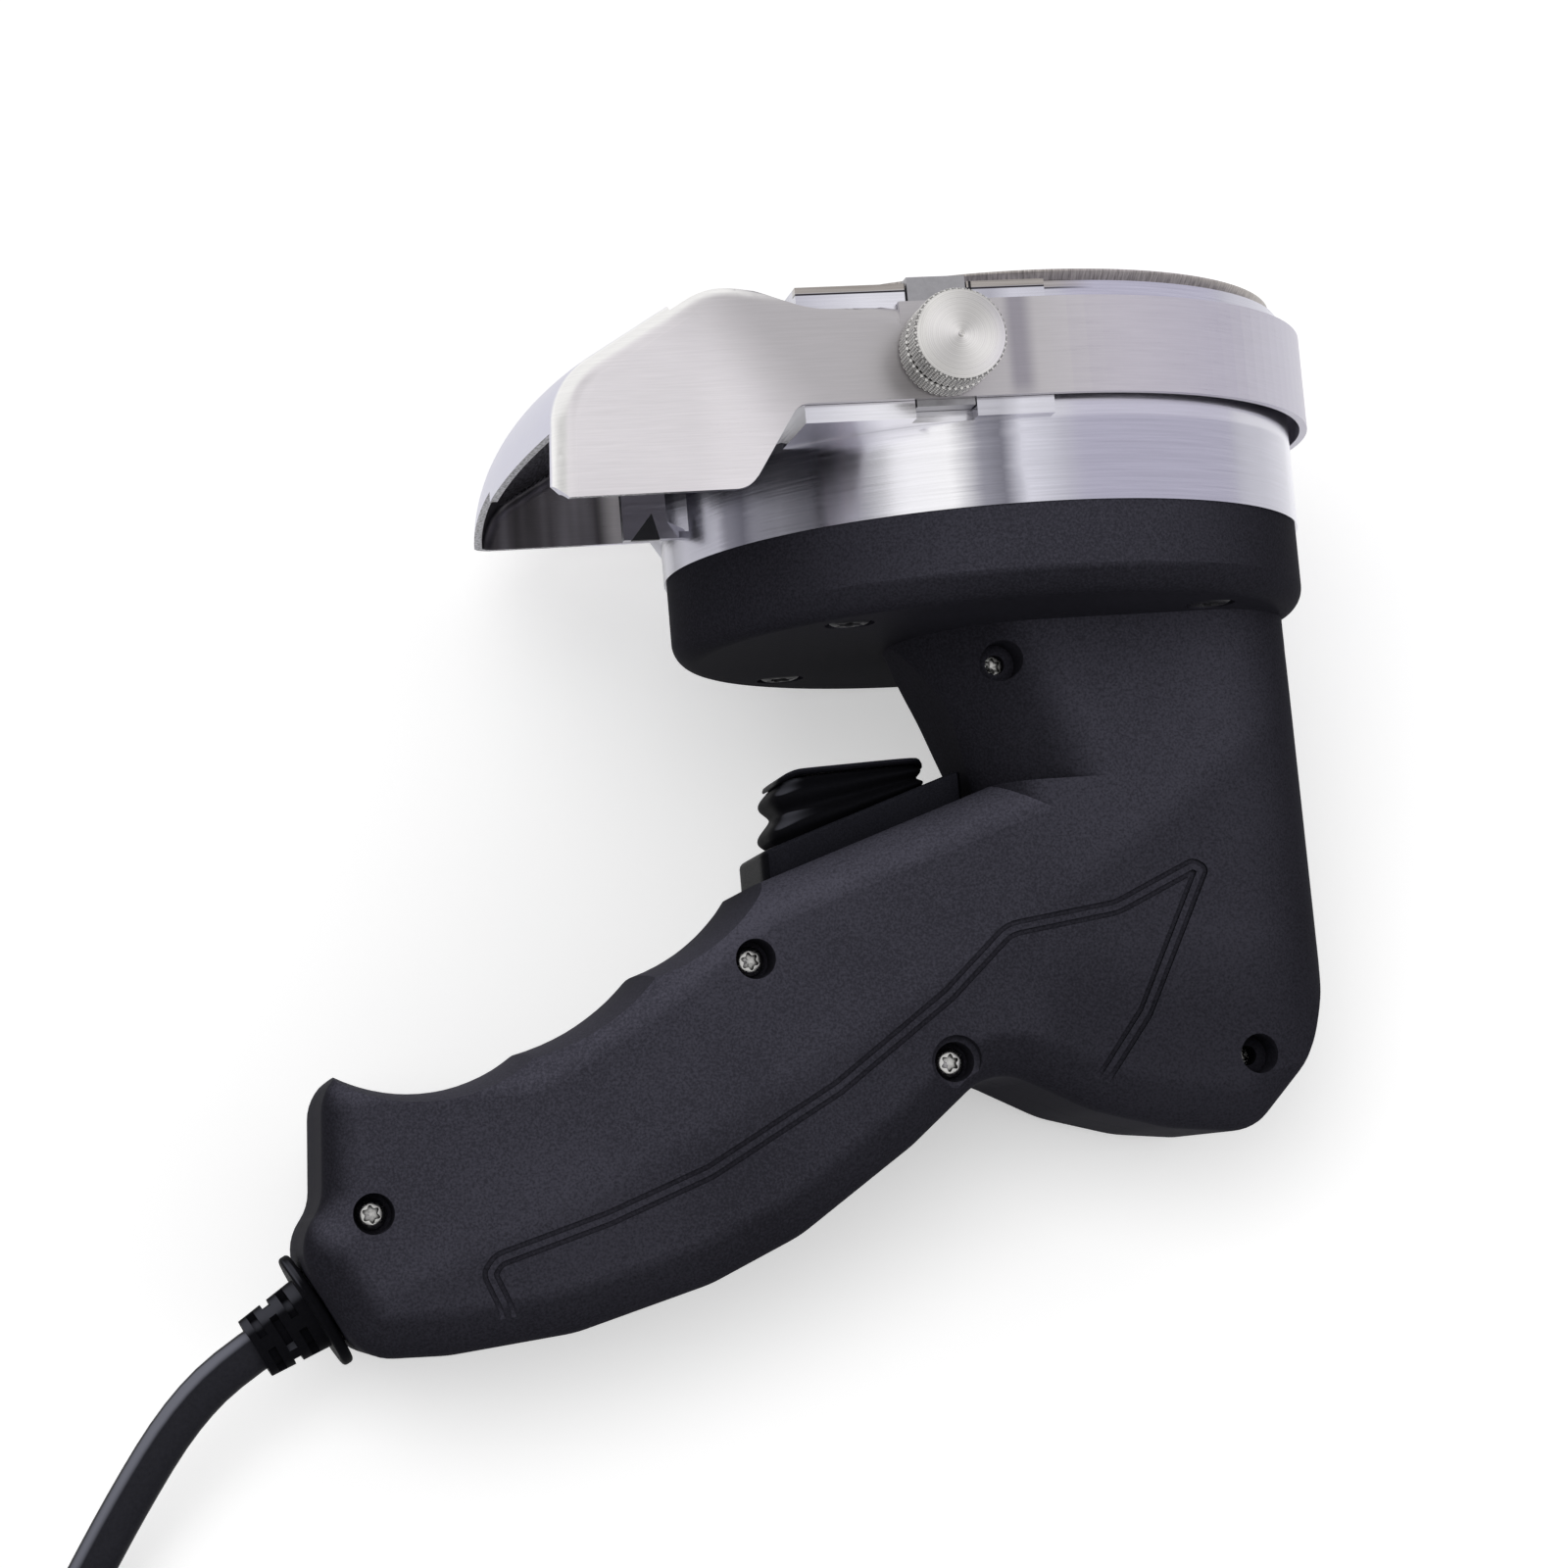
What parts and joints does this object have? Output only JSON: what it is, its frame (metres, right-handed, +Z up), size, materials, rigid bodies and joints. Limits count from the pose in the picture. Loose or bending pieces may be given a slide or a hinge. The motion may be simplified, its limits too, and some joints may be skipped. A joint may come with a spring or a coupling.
{
  "type": "electric kebab slicer",
  "caption": "Hand-held electric slicer with a round blade under a steel depth guide, a pistol grip with a trigger and a trailing mains lead.",
  "frame": {"origin": "centre of the tool's bounding box on the table it lies on, without the free cord", "axes": "+Z up from the table, +X to the right as pictured, along the tool's fore-and-aft line from the visor to the back of the head, +Y from the handle towards the blade"},
  "size_m": [0.2339, 0.3067, 0.1274],
  "materials": {
    "cast_head": "cast and brushed round the cup",
    "guide_steel": "brushed stainless sheet",
    "blade_steel": "ground stainless steel",
    "bright_steel": "turned and polished",
    "machine_steel": "plain steel",
    "magnet_can": "plated drawn steel",
    "winding": "copper winding and laminations",
    "black_shell": "fine spark-eroded grain",
    "black_collar": "fine grain",
    "trigger_black": "satin",
    "inner_plastic": "plain moulding",
    "black_rubber": "soft black rubber",
    "cord_black": "glossy black cord sheath",
    "pin_brass": "nickel-plated brass"
  },
  "bodies": {
    "root": {"head_housing": "cast_head", "spindle_bearing_upper": "machine_steel", "spindle_bearing_lower": "machine_steel", "gearbox_plate": "cast_head", "motor_can": "magnet_can", "motor_end_cap": "inner_plastic", "collar": "black_collar", "head_screws": "bright_steel", "handle_shell_near": "black_shell", "handle_shell_far": "black_shell", "handle_screws": "bright_steel", "trigger_pin": "machine_steel", "trigger_boot": "black_rubber", "boot_frame": "trigger_black", "switch_body": "inner_plastic", "capacitor": "inner_plastic", "cable_clamp": "inner_plastic", "cable_clamp_screws": "machine_steel", "strain_relief": "black_rubber", "cord_lead": "cord_black", "power_cord": "cord_black", "cord_coil": "cord_black", "cord_tail": "cord_black", "plug_body": "cord_black", "plug_pins": "pin_brass"},
    "blade": {"blade": "blade_steel", "blade_spindle": "machine_steel", "blade_washer": "bright_steel", "blade_nut": "bright_steel", "drive_gear": "machine_steel"},
    "rotor": {"motor_rotor": "winding", "motor_pinion": "machine_steel"},
    "guide": {"depth_guide": "guide_steel", "guide_block_near": "machine_steel", "guide_block_far": "machine_steel"},
    "screw_near": {"thumb_screw_near": "bright_steel", "screw_stud_near": "machine_steel"},
    "screw_far": {"thumb_screw_far": "bright_steel", "screw_stud_far": "machine_steel"},
    "trigger": {"trigger": "trigger_black"},
    "plunger": {"switch_plunger": "inner_plastic"}
  },
  "joints": [
    {"name": "blade_spin", "type": "hinge", "parent": "root", "child": "blade", "pos_m": [0.03719, 0.03328, 0.05471], "axis": [0.0243, 0.9377, 0.3465], "continuous": true},
    {"name": "motor_spin", "type": "hinge", "parent": "root", "child": "rotor", "pos_m": [0.05814, 0.03328, 0.05324], "axis": [0.0243, 0.9377, 0.3465], "continuous": true},
    {"name": "depth_slide", "type": "slide", "parent": "root", "child": "guide", "axis": [0.0243, 0.9377, 0.3465], "range_m": [-0.0014, 0.008]},
    {"name": "near_screw_turn", "type": "hinge", "parent": "guide", "child": "screw_near", "pos_m": [0.02118, 0.05447, 0.06371], "axis": [0.0657, -0.3473, 0.9354], "range_deg": [-15, 720]},
    {"name": "far_screw_turn", "type": "hinge", "parent": "guide", "child": "screw_far", "pos_m": [0.02118, 0.05447, 0.06371], "axis": [-0.0657, 0.3473, -0.9354], "range_deg": [-15, 720]},
    {"name": "trigger_press", "type": "hinge", "parent": "root", "child": "trigger", "pos_m": [0.02673, 0.00042, 0.04325], "axis": [0.0657, -0.3473, 0.9354], "range_deg": [0, 12], "stiffness_Nm_per_rad": 0.5, "springref_deg": -5.16, "deforming": ["trigger_boot"]},
    {"name": "plunger_press", "type": "slide", "parent": "root", "child": "plunger", "axis": [-0.0243, -0.9377, -0.3465], "range_m": [0, 0.00373]}
  ],
  "couplings": [
    {"joint": "motor_spin", "follows": "blade_spin", "ratio": -3.6667},
    {"joint": "plunger_press", "follows": "trigger_press", "m_per_rad": 0.017445}
  ]
}
